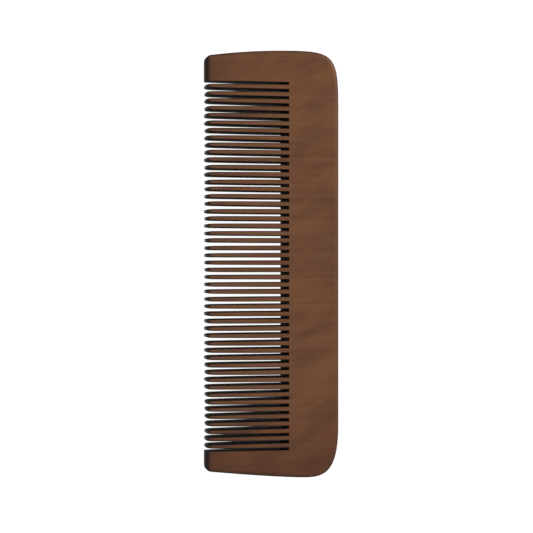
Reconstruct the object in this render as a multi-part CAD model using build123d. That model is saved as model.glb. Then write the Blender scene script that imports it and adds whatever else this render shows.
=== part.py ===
"""Beard comb sawn from one board of hardwood: a solid back, two end guards and a row of fine teeth.

The comb lies flat. X runs across it, teeth towards -X and spine towards +X. Y runs along it and Z is
up. The origin is in the middle of the footprint, on the surface that the comb lies on.

Every slot is cut by the rim of one round saw, so the back ends in the saw's arc. The teeth and guards
start on that same arc and meet the back face to face.
"""

import os
from math import cos, radians, sin, sqrt

from build123d import *

# Driving dimensions, mm
COMB_LENGTH = 150.0  # along Y
BACK_WIDTH = 18.0  # from the root line to the spine
TOOTH_LENGTH = 29.2  # from the root line to the tips
BOARD_THICKNESS = 10.0  # over the back
TIP_THICKNESS = 7.0  # over the teeth at their tips
FLAT_PAST_ROOT = 2.0  # how far the flat faces run on past the root line before the taper starts
EDGE_ROUNDING = 1.8  # sanded rounding all round the outline

TOOTH_COUNT = 50
SLOT_WIDTH = 0.83  # saw cut at the root line
SLOT_FLARE = 0.30  # how much wider a slot is at the tips
TIP_CORNER = 0.45  # rounding of each tooth's end, seen from above

WIDE_GUARD = 11.2  # guard at the +Y end, measured at the root line
NARROW_GUARD = 9.9  # guard at the -Y end
WIDE_GUARD_DROP = 2.2  # how far each guard's outer side falls in by its tip
NARROW_GUARD_DROP = 2.75
WIDE_GUARD_BOW = 0.5  # where that side bends most, as a share of its run from tip to crest
NARROW_GUARD_BOW = 0.8
GUARD_CORNER = 2.2  # plan rounding of the guards' outer tip corners

# Corners between spine and ends: reach along each side, and how full each half of the curve is
WIDE_END_REACH = (15.2, 21.0)
WIDE_END_FULLNESS = (0.95, 0.87)
NARROW_END_REACH = (11.4, 18.2)
NARROW_END_FULLNESS = (0.6, 0.88)

SAW_RADIUS = 45.0
SAW_SLOPE = 7.0  # degrees that the slot ends lean at mid-thickness, deeper at the upper face

# Derived places
SPINE_X = (BACK_WIDTH + TOOTH_LENGTH) / 2
ROOT_X = SPINE_X - BACK_WIDTH
TIP_X = ROOT_X - TOOTH_LENGTH
END_Y = COMB_LENGTH / 2
MID_Z = BOARD_THICKNESS / 2
TOOTH_WIDTH = (COMB_LENGTH - WIDE_GUARD - NARROW_GUARD - (TOOTH_COUNT + 1) * SLOT_WIDTH) / TOOTH_COUNT
PITCH = TOOTH_WIDTH + SLOT_WIDTH
FIRST_TOOTH_Y = END_Y - WIDE_GUARD - SLOT_WIDTH - TOOTH_WIDTH / 2
MARGIN = 5.0  # how far cutting shapes stand out past the board


def side_profile():
    """Section across the comb: flat back, then both faces bow towards the thin tips."""
    taper_x = ROOT_X - FLAT_PAST_ROOT
    half_tip = TIP_THICKNESS / 2
    drop = MID_Z - half_tip
    bow_radius = ((taper_x - TIP_X) ** 2 + drop**2) / (2 * drop)
    middle_x = (taper_x + TIP_X) / 2
    middle_drop = bow_radius - sqrt(bow_radius**2 - (taper_x - middle_x) ** 2)
    upper = ThreePointArc(
        (taper_x, BOARD_THICKNESS), (middle_x, BOARD_THICKNESS - middle_drop), (TIP_X, MID_Z + half_tip)
    )
    lower = ThreePointArc((TIP_X, MID_Z - half_tip), (middle_x, middle_drop), (taper_x, 0))
    tips = Line(upper @ 1, lower @ 0)
    back = Polyline(lower @ 1, (SPINE_X, 0), (SPINE_X, BOARD_THICKNESS), upper @ 0)
    return Plane.XZ * make_face(Curve() + [upper, tips, lower, back])


def end_curves(side, guard_drop, guard_bow, reach, fullness):
    """Guard side and spine corner of one end; side is +1 for the +Y end and -1 for the other."""
    end_y = side * END_Y
    crest_x = SPINE_X - reach[0]
    bend_x = TIP_X + guard_bow * (crest_x - TIP_X)
    guard_side = Bezier((TIP_X, end_y - side * guard_drop), (bend_x, end_y), (crest_x, end_y))
    corner = Bezier(
        (crest_x, end_y),
        (crest_x + fullness[0] * reach[0], end_y),
        (SPINE_X, end_y - side * (1 - fullness[1]) * reach[1]),
        (SPINE_X, end_y - side * reach[1]),
    )
    return [guard_side, corner]


def plan_outline():
    """Outline seen from above: gently bowed ends, full corners at the spine, straight tip line."""
    wide_end = end_curves(+1, WIDE_GUARD_DROP, WIDE_GUARD_BOW, WIDE_END_REACH, WIDE_END_FULLNESS)
    narrow_end = end_curves(
        -1, NARROW_GUARD_DROP, NARROW_GUARD_BOW, NARROW_END_REACH, NARROW_END_FULLNESS
    )
    spine = Line(wide_end[1] @ 1, narrow_end[1] @ 1)
    tip_line = Line(wide_end[0] @ 0, narrow_end[0] @ 0)
    face = make_face(Curve() + wide_end + narrow_end + [spine, tip_line])
    return fillet(face.vertices().group_by(Axis.X)[0], GUARD_CORNER)


def rounded_board():
    """The blank before its slots are sawn, with every outline edge rounded over."""
    thickness = extrude(side_profile(), END_Y + MARGIN, both=True)
    board = extrude(plan_outline(), BOARD_THICKNESS) & thickness
    walls = [face for face in board.faces() if abs(face.normal_at().Z) < 0.01]
    rims = [edge for wall in walls for edge in wall.edges() if abs((edge % 0.5).Z) < 0.9]
    return fillet(ShapeList(rims), EDGE_ROUNDING)


def saw_reach():
    """Space that the saw's rim passes through: everything on the teeth's side of the slot ends."""
    lean = radians(SAW_SLOPE)
    rim_half = sqrt(SAW_RADIUS**2 - (SAW_RADIUS * sin(lean) - MID_Z) ** 2)
    center_x = ROOT_X - rim_half
    center_z = MID_Z + SAW_RADIUS * sin(lean)
    rim = Cylinder(SAW_RADIUS, COMB_LENGTH + 2 * MARGIN, rotation=(90, 0, 0))
    return Pos(center_x, 0, center_z) * rim


def strip(y_low, y_high):
    """Slice of the board's length, as a block that takes in its whole width and thickness."""
    size = (BACK_WIDTH + TOOTH_LENGTH + 2 * MARGIN, y_high - y_low, BOARD_THICKNESS + 2 * MARGIN)
    return Pos(0, (y_low + y_high) / 2, MID_Z) * Box(*size)


def guard_edge(y_root, side):
    """Block that takes in one guard, its inner side flared away from the first slot."""
    far_y = side * (END_Y + MARGIN)
    flare = side * SLOT_FLARE / 2
    past = flare * MARGIN / TOOTH_LENGTH
    corners = [
        (ROOT_X + MARGIN, y_root - past),
        (TIP_X - MARGIN, y_root + flare + past),
        (TIP_X - MARGIN, far_y),
        (ROOT_X + MARGIN, far_y),
    ]
    return extrude(make_face(Polyline(*corners, close=True)), BOARD_THICKNESS)


def tooth_prism(y_mid):
    """One tooth seen from above, tapering to a rounded end, over the board's whole thickness."""
    half_root, half_tip = TOOTH_WIDTH / 2, (TOOTH_WIDTH - SLOT_FLARE) / 2
    slope = (half_root - half_tip) / TOOTH_LENGTH
    half_back = half_root + slope * MARGIN
    corners = [
        (ROOT_X + MARGIN, y_mid - half_back),
        (TIP_X, y_mid - half_tip),
        (TIP_X, y_mid + half_tip),
        (ROOT_X + MARGIN, y_mid + half_back),
    ]
    face = make_face(Polyline(*corners, close=True))
    corner = min(TIP_CORNER, 0.8 * half_tip)
    face = fillet(face.vertices().group_by(Axis.X)[0], corner)
    return extrude(face, BOARD_THICKNESS)


def save(name, shape):
    solid = shape.solids()[0]
    export_step(solid, f"parts/{name}.step")
    print(f"{name}: {solid.volume:.1f} mm3")
    return solid.volume


def main():
    os.makedirs("parts", exist_ok=True)
    board = rounded_board()
    sawn = board & saw_reach()
    total = save("back", board - saw_reach())
    total += save("wide_end_guard", sawn & guard_edge(END_Y - WIDE_GUARD, +1))
    total += save("narrow_end_guard", sawn & guard_edge(-END_Y + NARROW_GUARD, -1))
    for number in range(TOOTH_COUNT):
        y_mid = FIRST_TOOTH_Y - number * PITCH
        blank = sawn & strip(y_mid - PITCH, y_mid + PITCH)
        total += save(f"tooth_{number + 1:02d}", blank & tooth_prism(y_mid))
    print(f"tooth {TOOTH_WIDTH:.3f} wide on a pitch of {PITCH:.3f}, wood {total / 1000:.2f} cm3")


main()
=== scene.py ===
# %% [markdown]
# # A beard comb, sawn from one board of hardwood
#
# The real comb starts as a planed board of a dense, even hardwood. Its outline is sawn and sanded
# round, the tooth side is planed thinner, fifty-one slots are cut by a gang of round saws, and the
# whole comb is stained brown and given a thin satin lacquer.
#
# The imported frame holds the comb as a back, two end guards and fifty teeth, all in metres and in one
# place. This lesson rebuilds each of them as a finer mesh, gives them one run of wood grain that
# passes through all the pieces, and lights them softly from above.

# %% Load the frame
import random
from math import copysign, cos, pi, radians, sin, sqrt

import bmesh
import bpy
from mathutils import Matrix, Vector
from mathutils.geometry import interpolate_bezier


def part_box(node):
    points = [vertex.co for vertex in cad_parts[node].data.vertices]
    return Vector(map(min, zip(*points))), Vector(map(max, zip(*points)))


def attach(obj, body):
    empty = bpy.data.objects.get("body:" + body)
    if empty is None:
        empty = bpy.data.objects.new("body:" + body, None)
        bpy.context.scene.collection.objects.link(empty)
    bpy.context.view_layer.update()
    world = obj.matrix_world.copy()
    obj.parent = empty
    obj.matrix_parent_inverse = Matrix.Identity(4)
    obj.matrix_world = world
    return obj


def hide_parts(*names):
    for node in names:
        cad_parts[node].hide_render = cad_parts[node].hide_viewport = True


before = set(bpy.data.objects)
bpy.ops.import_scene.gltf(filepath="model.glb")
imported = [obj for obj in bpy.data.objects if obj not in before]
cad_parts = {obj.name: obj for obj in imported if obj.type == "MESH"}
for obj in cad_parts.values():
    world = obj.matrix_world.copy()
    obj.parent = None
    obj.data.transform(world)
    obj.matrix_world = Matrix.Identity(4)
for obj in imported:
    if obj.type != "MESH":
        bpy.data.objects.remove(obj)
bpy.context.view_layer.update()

# %% [markdown]
# ## Measures
#
# Nearly every size can be read from the frame's own boxes: the back gives the spine, the slot ends and
# the thickness, a tooth gives the tips, and the row of teeth gives the pitch. Reading them keeps the
# meshes in step with the frame when a size changes there.

# %% Read the comb's measures from the frame
MM = 0.001
TOOTH_COUNT = sum(name.startswith("tooth_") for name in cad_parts)
back_low, back_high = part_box("back")
first_low, first_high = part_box("tooth_01")
last_low, last_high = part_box(f"tooth_{TOOTH_COUNT:02d}")

SPINE_X = back_high[0]
ROOT_X = first_high[0]  # root line, where the slots end on the upper face
TIP_X = first_low[0]
END_Y = back_high[1]
THICKNESS = back_high[2]
MID_Z = THICKNESS / 2
TOOTH_WIDTH = first_high[1] - first_low[1]
FIRST_Y = (first_low[1] + first_high[1]) / 2
PITCH = (FIRST_Y - (last_low[1] + last_high[1]) / 2) / (TOOTH_COUNT - 1)
SLOT_WIDTH = PITCH - TOOTH_WIDTH
LEAN = (ROOT_X - back_low[0]) / THICKNESS  # how far the slot ends lean, per unit of height
print(f"{TOOTH_COUNT} teeth {TOOTH_WIDTH / MM:.2f} mm wide, slots {SLOT_WIDTH / MM:.2f} mm")

# %% [markdown]
# A box can't tell how a shape runs inside it, so the few sizes that follow are written here.

# %% Sizes that the boxes can't tell
TIP_THICKNESS = 7.0 * MM
TAPER_X = ROOT_X - 2.0 * MM  # the flat faces end here, a little past the root line, and start to thin
EDGE_ROUNDING = 1.8 * MM  # sanded rounding all round the outline
SLOT_FLARE = 0.22 * MM  # how much wider a slot is at the tips than at the root
print(f"thinned from {THICKNESS / MM:.1f} to {TIP_THICKNESS / MM:.1f} mm at the tips")

# %% [markdown]
# ## Small helpers
#
# Colours are picked as the hex values of a paint chart, which are sRGB. Shaders work in linear light,
# so one function turns a hex value into linear numbers. Another adds a shader node with its settings
# and its links in one line, which keeps a material readable as a list of what it does.

# %% Colour and node helpers
def linear(hex_colour):
    """A paint-chart colour such as #6b4832 as linear red, green, blue and full alpha."""
    parts = [int(hex_colour[i : i + 2], 16) / 255 for i in (1, 3, 5)]
    return [p / 12.92 if p <= 0.04045 else ((p + 0.055) / 1.055) ** 2.4 for p in parts] + [1.0]


def add_node(tree, kind, settings=None, links=None):
    """Adds a node; a setting is a property or an input's value, a link joins an output to an input."""
    node = tree.nodes.new(kind)
    for key, value in (settings or {}).items():
        if isinstance(key, str) and hasattr(node, key):
            setattr(node, key, value)
        else:
            node.inputs[key].default_value = value
    for key, output in (links or {}).items():
        tree.links.new(output, node.inputs[key])
    return node


def new_material(name):
    """An empty material with its output node, ready for a shader."""
    material = bpy.data.materials.new(name)
    material.use_nodes = True
    material.node_tree.nodes.clear()
    return material, material.node_tree, material.node_tree.nodes.new("ShaderNodeOutputMaterial")

# %% [markdown]
# A pattern is mostly three moves: noise that is stretched along the grain, a part of its range spread
# over a new range, and two colours mixed by the result.

# %% Pattern helpers
def grain_noise(tree, place, length, width, detail, turn=0.0):
    """Noise whose patches are about length long and width wide, in metres, along the grain."""
    settings = {"vector_type": "TEXTURE", "Rotation": (0, 0, turn), "Scale": (length, width, width)}
    mapping = add_node(tree, "ShaderNodeMapping", settings, {"Vector": place})
    settings = {"Scale": 1.0, "Detail": detail, "Roughness": 0.55}
    return add_node(tree, "ShaderNodeTexNoise", settings, {"Vector": mapping.outputs[0]}).outputs[0]


def spread(tree, value, low, high, to_low=0.0, to_high=1.0):
    """Maps low..high of a value onto to_low..to_high, softly at both ends."""
    settings = {
        "interpolation_type": "SMOOTHSTEP", "From Min": low, "From Max": high,
        "To Min": to_low, "To Max": to_high,
    }
    return add_node(tree, "ShaderNodeMapRange", settings, {"Value": value}).outputs[0]


def combine(tree, operation, *values):
    """One step of arithmetic on shader values."""
    return add_node(tree, "ShaderNodeMath", {"operation": operation}, dict(enumerate(values))).outputs[0]


def tint(tree, amount, colour, other, mode="MIX"):
    """Colour mixed with another one, by an amount that is a number or an output."""
    settings = {"data_type": "RGBA", "blend_type": mode}
    links = {}
    for key, value in {0: amount, 6: colour, 7: other}.items():
        if isinstance(value, bpy.types.NodeSocket):
            links[key] = value
        else:
            settings[key] = value
    return add_node(tree, "ShaderNodeMix", settings, links).outputs[2]

# %% [markdown]
# ## Stained wood
#
# The wood is a fine, even one such as pear or beech, cut so that its grain runs out along the teeth.
# That direction matters: a tooth cut across the grain would snap. The stain hides most of the wood's
# own colour and leaves four things to see: broad soft clouds, reddish patches about as wide as a tooth,
# thin streaks along the grain, and short dark pores. An image could not wrap round fifty teeth without
# seams, so all four are noise in the object's own coordinates, stretched along X. Every piece shares
# those coordinates, and a streak that starts in the back runs on into its tooth.

# %% Real sizes of the four patterns, as length and width
CLOUD = (20 * MM, 6.5 * MM)
CLOUD_TURN = radians(24)  # the clouds drift across the grain
PATCH = (45 * MM, 2.3 * MM)
STREAK = (50 * MM, 1.1 * MM)  # real ones are 0.3 mm wide, drawn wider so that they show
STREAK_TURN = radians(1)
PORE = (2.4 * MM, 0.16 * MM)  # real ones are half as wide, drawn wider so that they show
print(f"clouds {CLOUD[1] / MM:.1f} mm wide, patches {PATCH[1] / MM:.1f}, streaks {STREAK[1] / MM:.1f}")


def grain_lines(tree, colour, streaks, pores):
    """Colour with lighter and darker streaks along the grain, and darker pores in it."""
    lines = tint(tree, spread(tree, streaks, 0.3, 0.66), (0.92, 0.91, 0.9, 1), (1.05, 1.05, 1.05, 1))
    colour = tint(tree, 1.0, colour, lines, "MULTIPLY")
    dots = tint(tree, spread(tree, pores, 0.26, 0.38), (0.86, 0.85, 0.84, 1), (1, 1, 1, 1))
    return tint(tree, 1.0, colour, dots, "MULTIPLY")

# %% [markdown]
# A stain isn't taken up evenly. The teeth drink the most red, the broad back and guards much less. Where
# the fibres are cut across they drink more stain, and the spine's rounding is a little redder. The rest is
# painted light: painted shade darkens the board towards its narrow end, where the room's light falls off,
# and darkens the tips' rounding, which faces away from the light, and a painted reflection of the white
# table greys the tips' fronts. These changes follow the comb's shape, so each one is a soft step in X or Y.

# %% How the stain changes from place to place
BACK_RED = 0.3  # share of the teeth's red that the back and the guards take
# painted shade on the narrow end, where the room's light falls off
NARROW_END_SHADE = (0.77, 0.71, 0.69, 1)
SPINE_BAND = 1.8 * MM  # width of the redder rounding along the spine
# the tips are darkened by painted shade over this length
TIP_BAND = 2.0 * MM  # length of the dark tips


def red_uptake(tree, place, across, along):
    """How much of the stain's red shows: patchy, strongest on the teeth."""
    patches = spread(tree, grain_noise(tree, place, *PATCH, detail=1.0), 0.4, 0.62)
    on_teeth = spread(tree, across, ROOT_X - 2 * MM, ROOT_X + 5 * MM, 1.0, BACK_RED)
    from_middle = combine(tree, "ABSOLUTE", along)
    off_guards = spread(tree, from_middle, FIRST_Y - 2 * MM, FIRST_Y + 2 * MM, 1.0, BACK_RED)
    return combine(tree, "MULTIPLY", combine(tree, "MULTIPLY", patches, on_teeth), off_guards)


def paint_narrow_end_shade(tree, colour, along):
    """Colour darkened by painted shade over the last three centimetres of the narrow end, where the light
    falls off.
    """
    out_of_shade = spread(tree, along, -END_Y + 9 * MM, -END_Y + 31 * MM)
    end_shade = tint(tree, out_of_shade, NARROW_END_SHADE, (1, 1, 1, 1))
    return tint(tree, 1.0, colour, end_shade, "MULTIPLY")


def stain_spine_paint_tip_light(tree, colour, across, spine, tip, front_reflection):
    """Colour with a redder stain on the spine's rounding, painted shade on the tips and a painted reflection
    on their fronts.
    """
    at_spine = spread(tree, across, SPINE_X - SPINE_BAND, SPINE_X - 0.4 * SPINE_BAND, 0.0, 0.5)
    colour = tint(tree, at_spine, colour, linear(spine))
    # painted shade, faint down the teeth and strong on the tips' rounding, which faces away from the light
    down_the_teeth = spread(tree, across, TIP_X, ROOT_X, 0.08, 0.0)
    colour = tint(tree, down_the_teeth, colour, linear(tip))
    near_tip = spread(tree, across, TIP_X + 0.3 * TIP_BAND, TIP_X + TIP_BAND, 0.85, 0.0)
    colour = tint(tree, near_tip, colour, linear(tip))
    # painted reflection of the white table, greying the tips' fronts
    at_front = spread(tree, across, TIP_X + 0.05 * TIP_BAND, TIP_X + 0.25 * TIP_BAND, 0.85, 0.0)
    return tint(tree, at_front, colour, linear(front_reflection))

# %% [markdown]
# All the finishes are the same wood, so one function builds them. They differ in their colours, which on the
# sawn and outline finishes are darkened as painted shade, in their shine, and in how deep the streaks and
# pores feel, which a bump gives.

# %% A wood finish
GRAIN_DEPTH = 0.05 * MM


def wood_material(name, light, dark, red, ends, roughness, specular, coat, bump):
    """A finish: its stain colours, the spine's stain, the tips' painted shade and their fronts' painted
    reflection, its shine and how deep its grain is.
    """
    material, tree, output = new_material(name)
    place = add_node(tree, "ShaderNodeTexCoord").outputs["Object"]
    axes = add_node(tree, "ShaderNodeSeparateXYZ", links={"Vector": place}).outputs
    clouds = grain_noise(tree, place, *CLOUD, detail=3.0, turn=CLOUD_TURN)
    streaks = grain_noise(tree, place, *STREAK, detail=4.0, turn=STREAK_TURN)
    pores = grain_noise(tree, place, *PORE, detail=1.0)
    colour = tint(tree, spread(tree, clouds, 0.3, 0.7), linear(dark), linear(light))
    colour = tint(tree, red_uptake(tree, place, axes["X"], axes["Y"]), colour, linear(red))
    colour = grain_lines(tree, colour, streaks, pores)
    colour = paint_narrow_end_shade(tree, colour, axes["Y"])
    colour = stain_spine_paint_tip_light(tree, colour, axes["X"], *ends)
    relief = tint(tree, 0.6, streaks, pores)
    bumps = add_node(tree, "ShaderNodeBump", {"Strength": bump, "Distance": GRAIN_DEPTH}, {"Height": relief})
    settings = {
        "Roughness": roughness, "IOR": 1.5, "Specular IOR Level": specular,
        "Coat Weight": coat, "Coat Roughness": 0.3, "Coat IOR": 1.48,
    }
    links = {"Base Color": colour, "Normal": bumps.outputs[0]}
    shader = add_node(tree, "ShaderNodeBsdfPrincipled", settings, links)
    tree.links.new(shader.outputs[0], output.inputs[0])
    print("material:", name)
    return material

# %% [markdown]
# The faces are sanded smooth before the lacquer goes on, so they show the colour clearly with a soft
# even sheen. The steep half of the outline's rounding was opened up by the sanding and the lacquer sinks
# away, so it is duller; its darker colour is painted shade, for a rounding that turns away from the light,
# and it draws a thin line round the comb. The slot walls are straight from the saw and hardly any lacquer
# gets between the teeth, so they are dull; their near-black colour is painted shade, for the shade deep in
# the narrow slots.

# %% The three finishes
# ends: the spine's stain, the tips' painted shade and the painted reflection on their fronts
lacquered_wood = wood_material(
    "pear wood, sanded, stained and satin lacquered",
    light="#734929", dark="#5f3a22", red="#6e492e", ends=("#6c3f2c", "#1e120c", "#3c332c"),
    roughness=0.5, specular=0.22, coat=0.05, bump=0.2,
)
# near-black colours: painted shade for the walls deep in the narrow slots
sawn_wood_in_painted_shade = wood_material(
    "pear wood, saw cut and stained",
    light="#20140e", dark="#170e09", red="#1d110b", ends=("#170e09", "#150d08", "#2c2622"),
    roughness=0.75, specular=0.15, coat=0.0, bump=0.5,
)
# darker colours: painted shade on the steep half of the rounding, which turns away from the light
outline_wood_in_painted_shade = wood_material(
    "pear wood, outline sanded round, painted darker as shade",
    light="#4a2e1b", dark="#3e2616", red="#48291a", ends=("#43281e", "#1e120c", "#3c332c"),
    roughness=0.75, specular=0.08, coat=0.0, bump=0.2,
)

# %% [markdown]
# ## The board
#
# A craftsman shapes the whole board first and saws it last, and the mesh is made in the same order.
# The outline is drawn as curves, filled, extruded to the board's thickness, sliced across where the
# faces bow, thinned towards the tips, and its rims are bevelled. The back and both guards are then cut
# from copies of that board with straight cuts, so their surfaces meet without a step.

# %% The outline, seen from above
ENDS = {  # side: drop of the guard's outer side, its bow, reach and fullness of the spine corner
    +1: (2.2 * MM, 0.5, (15.2 * MM, 21.0 * MM), (0.95, 0.87)),
    -1: (2.75 * MM, 0.8, (11.4 * MM, 18.2 * MM), (0.6, 0.88)),
}
SWEEP_POINTS = 13  # along a guard's outer side
CORNER_POINTS = 25  # round a spine corner


def end_outline(side):
    """Points along one end, from the tip corner round to the spine."""
    drop, bow, reach, fullness = ENDS[side]
    end_y = side * END_Y
    crest = Vector((SPINE_X - reach[0], end_y))
    tip = Vector((TIP_X, end_y - side * drop))
    bend = Vector((TIP_X + bow * (crest.x - TIP_X), end_y))
    # A quadratic curve's two cubic handles lie two thirds of the way to its middle point.
    sweep = interpolate_bezier(tip, tip.lerp(bend, 2 / 3), crest.lerp(bend, 2 / 3), crest, SWEEP_POINTS)
    handle_1 = crest + Vector((fullness[0] * reach[0], 0))
    spine = Vector((SPINE_X, end_y - side * reach[1]))
    handle_2 = spine + Vector((0, side * fullness[1] * reach[1]))
    corner = interpolate_bezier(crest, handle_1, handle_2, spine, CORNER_POINTS)
    return sweep + corner[1:]

# %% Fill the outline and give it thickness
GUARD_CORNER = 1.9 * MM  # rounding at the guards' outer tip corners, seen from above


def flat_board():
    """A board of even thickness, cut to the outline."""
    board = bmesh.new()
    outline = end_outline(+1) + list(reversed(end_outline(-1)))
    board.faces.new([board.verts.new((point.x, point.y, 0)) for point in outline])
    corners = [v for v in board.verts if v.co.x < TIP_X + 0.01 * MM]
    bmesh.ops.bevel(
        board, geom=corners, affect="VERTICES", offset=GUARD_CORNER, segments=5, profile=0.5, material=-1
    )
    lifted = bmesh.ops.extrude_face_region(board, geom=list(board.faces))["geom"]
    top = [v for v in lifted if isinstance(v, bmesh.types.BMVert)]
    bmesh.ops.translate(board, verts=top, vec=(0, 0, THICKNESS))
    bmesh.ops.recalc_face_normals(board, faces=board.faces)
    return board

# %% [markdown]
# Planing the tooth side thinner leaves both faces gently bowed. A face can only bend where it has
# edges, so the board is first sliced across at even steps, and each slice is then pulled in to the
# thickness that the bow has there.

# %% Slice the board across and thin it towards the tips
SLICES = 14
LAST_SLICE_X = TIP_X + 2 * MM  # clear of the tips' own rounding


def half_thickness(x):
    """Half the board's thickness at x: flat over the back, then bowed down to the tips."""
    drop = (THICKNESS - TIP_THICKNESS) / 2
    radius = ((TAPER_X - TIP_X) ** 2 + drop**2) / (2 * drop)
    run = max(0.0, TAPER_X - x)
    return MID_Z - (radius - sqrt(radius**2 - run**2))


def thin_towards_tips(board):
    """Bows both faces of a flat board down to the thickness of the tips."""
    for step in range(SLICES):
        cut_x = TAPER_X - step * (TAPER_X - LAST_SLICE_X) / SLICES
        everything = board.verts[:] + board.edges[:] + board.faces[:]
        bmesh.ops.bisect_plane(board, geom=everything, plane_co=(cut_x, 0, 0), plane_no=(1, 0, 0))
    for vert in board.verts:
        vert.co.z = MID_Z + copysign(half_thickness(vert.co.x), vert.co.z - MID_Z)

# %% [markdown]
# Sanding rounds the rims over. A bevel of eight segments is smooth enough for a close look, and its
# steeper half takes the outline's finish, whose darker colour is painted shade.

# %% Round the rims over
LACQUERED, SAWN, OUTLINE = range(3)  # places of the three finishes on every piece
STEEP = 0.7  # a face whose normal rises less than this belongs to the steep half


def is_rim(edge):
    """True for an edge between a face of the board and its side."""
    upright = [abs(face.normal.z) < 0.5 for face in edge.link_faces]
    return len(upright) == 2 and upright[0] != upright[1]


def round_rims(board):
    """Bevels the rims of both faces and gives the steep half its own finish, darkened as painted shade."""
    rims = [edge for edge in board.edges if is_rim(edge)]
    bmesh.ops.bevel(
        board, geom=rims, affect="EDGES", offset=EDGE_ROUNDING, offset_type="OFFSET", segments=8,
        profile=0.5, material=-1, clamp_overlap=False, loop_slide=True,
    )
    board.normal_update()
    # the steep half gets the outline finish, whose darker colour is painted shade
    for face in board.faces:
        if abs(face.normal.z) < STEEP:
            face.material_index = OUTLINE


board = flat_board()
thin_towards_tips(board)
round_rims(board)
print("board:", len(board.faces), "faces")

# %% [markdown]
# ## Back and end guards
#
# A straight cut with `bisect_plane` throws one side away and leaves a hole, which `holes_fill` closes.
# The cut faces are the sawn ones, so they take the sawn finish, painted dark as shade.

# %% Cutting and finishing helpers
SHARP_FROM = radians(35)  # edges that turn more than this are shaded as sharp


def cut(piece, point, away):
    """Saws the piece along a plane, drops the side that away points to, and closes the cut."""
    everything = piece.verts[:] + piece.edges[:] + piece.faces[:]
    made = bmesh.ops.bisect_plane(
        piece, geom=everything, plane_co=point, plane_no=away, clear_outer=True, dist=1e-7
    )["geom_cut"]
    edges = [g for g in made if isinstance(g, bmesh.types.BMEdge)]
    for face in bmesh.ops.holes_fill(piece, edges=edges, sides=0)["faces"]:
        face.material_index = SAWN


def finish_piece(mesh_shape, name, slot, *nodes):
    """Turns a bmesh into an object that rides on the comb and stands for its frame nodes."""
    mesh = bpy.data.meshes.new(name)
    mesh_shape.to_mesh(mesh)
    mesh_shape.free()
    for finish in (lacquered_wood, sawn_wood_in_painted_shade, outline_wood_in_painted_shade):
        mesh.materials.append(finish)
    mesh.shade_smooth()
    mesh.set_sharp_from_angle(angle=SHARP_FROM)
    piece = bpy.data.objects.new(name, mesh)
    bpy.context.collection.objects.link(piece)
    weighted = piece.modifiers.new("even shading", "WEIGHTED_NORMAL")
    weighted.keep_sharp = True
    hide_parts(*nodes)
    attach(piece, "root")
    return piece

# %% [markdown]
# The round saws came down through the upper face, so the slots reach a little deeper there, and the cut
# at the root leans by that amount. The inner side of a guard turns away from its slot by half the flare.

# %% Cut the back and the two guards
slot_end = Vector((ROOT_X, 0, THICKNESS))
end_away = Vector((-1, 0, LEAN)).normalized()
flare_slope = SLOT_FLARE / 2 / (ROOT_X - TIP_X)
guard_roots = {
    +1: FIRST_Y + TOOTH_WIDTH / 2 + SLOT_WIDTH,
    -1: FIRST_Y - (TOOTH_COUNT - 1) * PITCH - TOOTH_WIDTH / 2 - SLOT_WIDTH,
}

back = board.copy()
cut(back, slot_end, end_away)
finish_piece(back, "comb_back", "back_wood", "back")

for side, node in ((+1, "wide_end_guard"), (-1, "narrow_end_guard")):
    guard = board.copy()
    cut(guard, slot_end, -end_away)
    cut(guard, (ROOT_X, guard_roots[side], 0), Vector((-flare_slope, -side, 0)).normalized())
    finish_piece(guard, f"comb_{node}", "back_wood", node)
board.free()
print("back and guards cut")

# %% [markdown]
# ## Teeth
#
# A tooth starts almost square at the root, where the saw left it, and gets rounder towards its tip,
# where a buffing wheel reached it from all sides. One ring of twenty points does it: the ring is
# extruded from place to place along the tooth, and at each place it is pulled onto a rectangle with
# rounded corners of that place's width, height and corner radius.

# %% The ring and the places it stops at
RING = 20
BODY_PLACES = 14
NOSE_PLACES = 7


def shape_ring(ring, x, mid_y, half_width, half_height, rounding, lean):
    """Pulls a ring of vertices onto a rounded rectangle across the tooth at x."""
    for step, vert in enumerate(ring):
        turn = (step + 0.5) * 2 * pi / RING
        across, up = cos(turn), sin(turn)
        vert.co.y = mid_y + copysign(half_width - rounding, across) + rounding * across
        vert.co.z = MID_Z + copysign(half_height - rounding, up) + rounding * up
        vert.co.x = x + lean * (vert.co.z - THICKNESS)


def tooth_places(length):
    """Distances behind the tip, from the root forward: even steps, then a close-set rounded nose."""
    body = [length + (EDGE_ROUNDING - length) * i / BODY_PLACES for i in range(BODY_PLACES)]
    nose = [EDGE_ROUNDING * (1 - sin(pi / 2 * i / NOSE_PLACES)) for i in range(NOSE_PLACES + 1)]
    return body + nose


def extrude_ring(tooth, ring, edges):
    """Extrudes the open end of a tooth: the new ring, point for point as the old one, and its edges."""
    made = bmesh.ops.extrude_edge_only(tooth, edges=edges)["geom"]
    edges = [g for g in made if isinstance(g, bmesh.types.BMEdge) and g.is_boundary]
    followers = {}
    for vert in (g for g in made if isinstance(g, bmesh.types.BMVert)):
        for edge in vert.link_edges:
            followers[edge.other_vert(vert)] = vert
    return [followers[old] for old in ring], edges

# %% [markdown]
# Each tooth's own sizes come next. Its sides draw in towards the tip along a curve, its edges are
# broken more and more by the buffing wheel, and its last few millimetres narrow to a soft nose.

# %% How wide, high and round a tooth is along its length
ROOT_ROUNDING = 0.24 * MM  # the long edges, broken a little by sanding
TIP_ROUNDING = 0.42 * MM  # the same edges where the wheel reached them
FLARE_CURVE = 1.6  # above 1, so that most of the narrowing is near the tip
NOSE_NARROWING = 0.42 * MM  # how much narrower each side is at the very tip
NOSE_LENGTH = 2.6 * MM


def rounded_in(depth, width, reach):
    """How much narrower a rounded end still is at this depth; it widens by width over its reach."""
    to_go = 1 - min(depth, reach) / reach
    return width * (1 - sqrt(1 - to_go**2))


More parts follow.
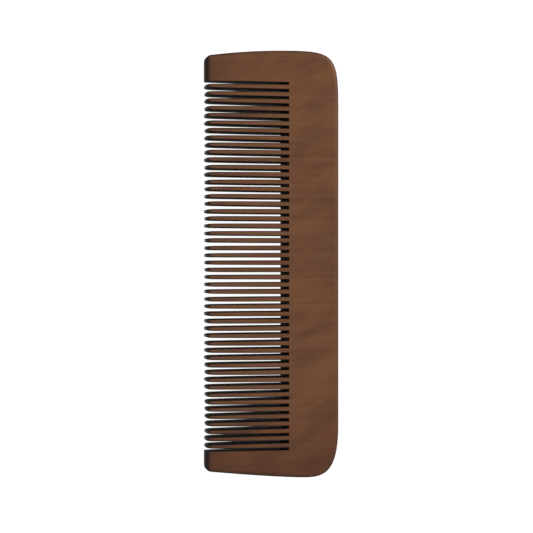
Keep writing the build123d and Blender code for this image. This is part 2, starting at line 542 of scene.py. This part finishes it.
def section(x, behind, along, slim):
    """Half width, half height and corner radius of a tooth, along from 0 at the root to 1 at the tip."""
    half_width = TOOTH_WIDTH / 2 - (slim + SLOT_FLARE / 2) * along**FLARE_CURVE
    half_width -= rounded_in(behind, NOSE_NARROWING, NOSE_LENGTH)
    half_height = half_thickness(x) - rounded_in(behind, EDGE_ROUNDING, EDGE_ROUNDING)
    rounding = ROOT_ROUNDING + (TIP_ROUNDING - ROOT_ROUNDING) * along**2
    return half_width, half_height, min(rounding, 0.9 * half_width, 0.9 * half_height)

# %% [markdown]
# Hand finishing is never quite even. Each tooth is a few hundredths of a millimetre off in place and in
# width, its tip up to a tenth off to a side, and its length up to two tenths short. The root ring leans
# with the slot's end, so that the tooth meets the back face to face.

# %% Make one tooth
OFF_PLACE = 0.05 * MM
TIP_OFF_PLACE = 0.09 * MM
SHORTER = 0.2 * MM
SLIMMER = 0.03 * MM


def make_tooth(number, luck):
    """Tooth with that number, counted from the wide guard."""
    mid_y = FIRST_Y - number * PITCH + luck.uniform(-OFF_PLACE, OFF_PLACE)
    tip_shift = luck.uniform(-TIP_OFF_PLACE, TIP_OFF_PLACE)
    tip_x = TIP_X + luck.uniform(0.0, SHORTER)
    slim = luck.uniform(-SLIMMER, SLIMMER)
    length = ROOT_X - tip_x
    tooth = bmesh.new()
    ring = bmesh.ops.create_circle(tooth, segments=RING, radius=MM, cap_ends=False)["verts"]
    edges = list(tooth.edges)
    for place, behind in enumerate(tooth_places(length)):
        if place:
            ring, edges = extrude_ring(tooth, ring, edges)
        x = tip_x + behind
        along = 1 - behind / length
        lean = 0.0 if place else LEAN
        shape_ring(ring, x, mid_y + tip_shift * along, *section(x, behind, along, slim), lean)
    bmesh.ops.holes_fill(tooth, edges=[e for e in tooth.edges if e.is_boundary], sides=0)
    bmesh.ops.recalc_face_normals(tooth, faces=tooth.faces)
    mark_sawn(tooth)
    node = f"tooth_{number + 1:02d}"
    return finish_piece(tooth, f"comb_{node}", "tooth_wood", node)


def mark_sawn(tooth):
    """Gives the sawn finish, painted dark as shade, to the sides, their broken edges and the root; the faces
    stay lacquered.
    """
    for face in tooth.faces:
        if abs(face.normal.y) > 0.25 or face.normal.x > 0.5:
            face.material_index = SAWN

# %% All the teeth
luck = random.Random(51)
teeth = [make_tooth(number, luck) for number in range(TOOTH_COUNT)]
print(len(teeth), "teeth of", len(teeth[0].data.polygons), "faces")

# %% [markdown]
# ## Floor, light and camera
#
# The comb lies on a white, evenly lit table top. The floor gives off most of its own light, as a lit
# table does, so that the gaps between the teeth read as white; a small share of it is plain diffuse
# white, which takes the faint contact shadow. It is hidden from diffuse rays, so that it doesn't light
# the slot walls from below.

# %% Floor
FLOOR_HALF_SIZE = 1.5
MATT_SHARE = 0.12

floor_shape = bmesh.new()
bmesh.ops.create_grid(floor_shape, x_segments=1, y_segments=1, size=FLOOR_HALF_SIZE)
floor_mesh = bpy.data.meshes.new("table_top")
floor_shape.to_mesh(floor_mesh)
floor_shape.free()
floor = bpy.data.objects.new("table_top", floor_mesh)
bpy.context.collection.objects.link(floor)
floor.visible_diffuse = False

floor_paint, tree, output = new_material("lit white table top")
glow = add_node(tree, "ShaderNodeEmission", {"Color": linear("#ffffff"), "Strength": 1.12})
matt = add_node(tree, "ShaderNodeBsdfDiffuse", {"Color": linear("#f2f2f2")})
both = add_node(tree, "ShaderNodeMixShader", {0: MATT_SHARE}, {1: glow.outputs[0], 2: matt.outputs[0]})
tree.links.new(both.outputs[0], output.inputs[0])
floor_mesh.materials.append(floor_paint)
print("table top laid")

# %% [markdown]
# The light is that of a bright room. The sky is strong overhead and fades to nothing near the horizon,
# so the faces are lit evenly while the upright sides stay dark. One small panel stands low beyond the
# spine, towards the wide end, and leaves a soft highlight along the spine's rounding.

# %% Light
SKY_STRENGTH = 0.9
world = bpy.data.worlds.new("soft room")
bpy.context.scene.world = world
world.use_nodes = True
sky_tree = world.node_tree
sky_tree.nodes.clear()
sky_place = add_node(sky_tree, "ShaderNodeTexCoord").outputs["Generated"]
height = add_node(sky_tree, "ShaderNodeSeparateXYZ", links={"Vector": sky_place}).outputs["Z"]
strength = spread(sky_tree, height, 0.1, 0.7, 0.0, SKY_STRENGTH)
sky = add_node(sky_tree, "ShaderNodeBackground", {"Color": linear("#fbfcff")}, {"Strength": strength})
add_node(sky_tree, "ShaderNodeOutputWorld", links={"Surface": sky.outputs[0]})

panel = bpy.data.lights.new("window", "AREA")
panel.size, panel.energy = 0.2, 1.3
panel.color = linear("#fff6ea")[:3]
panel_object = bpy.data.objects.new("window", panel)
panel_object.location = (0.36, 0.26, 0.17)
panel_object.rotation_euler = (-panel_object.location).to_track_quat("-Z", "Y").to_euler()
bpy.context.collection.objects.link(panel_object)
print(f"window {panel_object.location.length:.2f} m from the comb")

# %% [markdown]
# The comb is looked at from above and from a little to its toothed side, near enough for the slots to
# close up towards both ends.

# %% Camera
VIEW_TILT = radians(10.5)
VIEW_DISTANCE = 550 * MM
VIEW_WIDTH = 186.1 * MM  # width of what the camera takes in at the comb's upper face
AIM = Vector(((SPINE_X + TIP_X) / 2 - 2.5 * MM, -0.76 * MM, THICKNESS))
TOWARDS_WIDE_END = 1.8 * MM  # the eye stands this far off the aim, towards the wide end

camera = bpy.data.cameras.new("camera")
camera.lens = camera.sensor_width * VIEW_DISTANCE / VIEW_WIDTH
camera.clip_start, camera.clip_end = 0.01, 10
camera_object = bpy.data.objects.new("camera", camera)
eye = Vector((-VIEW_DISTANCE * sin(VIEW_TILT), TOWARDS_WIDE_END, VIEW_DISTANCE * cos(VIEW_TILT)))
camera_object.location = AIM + eye
camera_object.rotation_euler = (-TOWARDS_WIDE_END / VIEW_DISTANCE, -VIEW_TILT, 0)
bpy.context.collection.objects.link(camera_object)
bpy.context.scene.camera = camera_object
bpy.context.scene.view_settings.view_transform = "Standard"
print(f"lens {camera.lens:.0f} mm")
